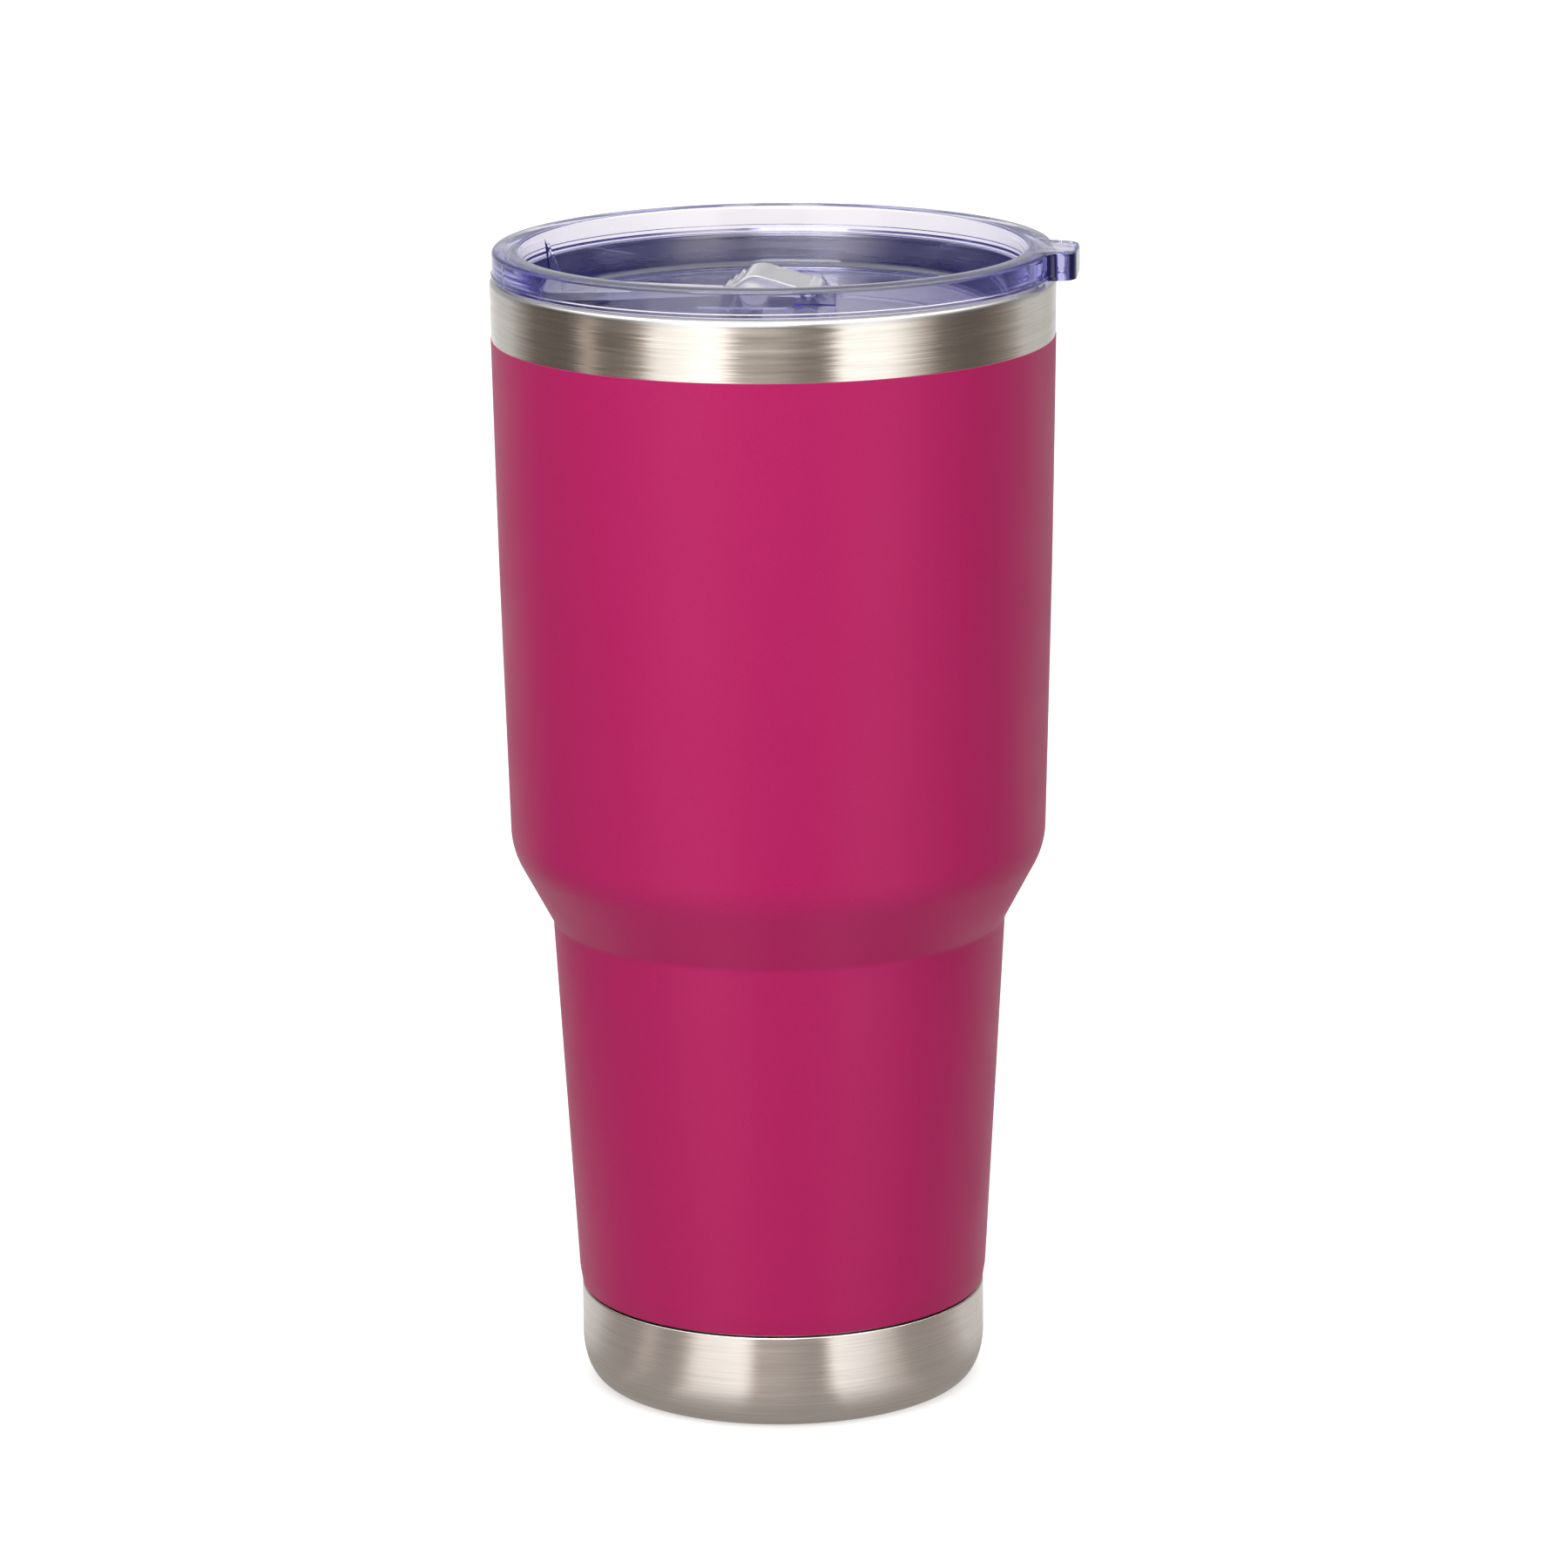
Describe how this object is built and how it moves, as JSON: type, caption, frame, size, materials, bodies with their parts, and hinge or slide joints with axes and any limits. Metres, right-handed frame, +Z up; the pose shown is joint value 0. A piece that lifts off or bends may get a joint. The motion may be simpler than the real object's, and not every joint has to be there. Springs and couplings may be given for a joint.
{
  "type": "insulated tumbler with lid",
  "caption": "Vacuum-insulated steel drinking tumbler with a coloured coating, bare steel bands, a clear press-in lid with a thumb tab and a flip-top closure.",
  "frame": {"origin": "centre of the flat bottom, on the surface that the tumbler stands on", "axes": "+Z up along the body's axis; +X towards the lid's thumb tab, so the drinking opening is on the -X side; the closure's hinge runs along Y"},
  "size_m": [0.1058, 0.1018, 0.2113],
  "materials": {
    "steel_shell": "satin",
    "steel_liner": "satin",
    "steel_base": "satin",
    "coating": "satin",
    "foil": "satin",
    "sealing_glass": "gloss",
    "getter": "matte",
    "adhesive": "matte",
    "clear_plastic": "gloss",
    "clear_closure": "gloss",
    "clear_silicone": "satin"
  },
  "bodies": {
    "tumbler": {"outer_shell": "steel_shell", "powder_coat": "coating", "inner_liner": "steel_liner", "liner_bottom": "steel_liner", "reflector_foil": "foil", "outer_bottom": "steel_shell", "port_seal": "sealing_glass", "getter_clip": "steel_liner", "getter_pellet": "getter", "base_bond": "adhesive", "base_cup": "steel_base"},
    "lid": {"lid_body": "clear_plastic", "lid_gasket": "clear_silicone"},
    "flip": {"flip_cap": "clear_closure", "stopper_seal": "clear_silicone"}
  },
  "joints": [
    {"name": "lid_lift", "type": "slide", "parent": "tumbler", "child": "lid", "axis": [0, 0, 1], "range_m": [0, 0.06]},
    {"name": "flip_hinge", "type": "hinge", "parent": "lid", "child": "flip", "pos_m": [0.007, 0, 0.20235], "axis": [0, 1, 0], "range_deg": [0, 164]}
  ]
}
